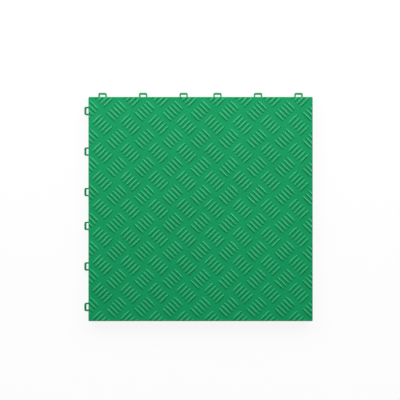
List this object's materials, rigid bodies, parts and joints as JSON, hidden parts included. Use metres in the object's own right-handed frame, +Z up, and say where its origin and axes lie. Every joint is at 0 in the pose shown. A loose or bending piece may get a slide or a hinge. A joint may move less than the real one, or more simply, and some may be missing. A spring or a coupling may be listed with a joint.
{
  "type": "interlocking floor tile",
  "caption": "Square moulded plastic floor tile with a raised bar tread, open connector loops along adjoining sides, locking pegs behind the opposite ones and a ribbed underside on short feet",
  "frame": {"origin": "on the floor under the middle of the 400 mm square, on the flat end of the middle foot", "axes": "+Z up out of the tread, loops on the -X and +Y sides, pegs behind the +X and -Y sides"},
  "size_m": [0.4082, 0.4082, 0.018],
  "materials": {
    "tile_plastic": "injection-moulded green polypropylene, satin with a fine grain"
  },
  "bodies": {
    "root": {"tile": "tile_plastic"}
  },
  "joints": []
}
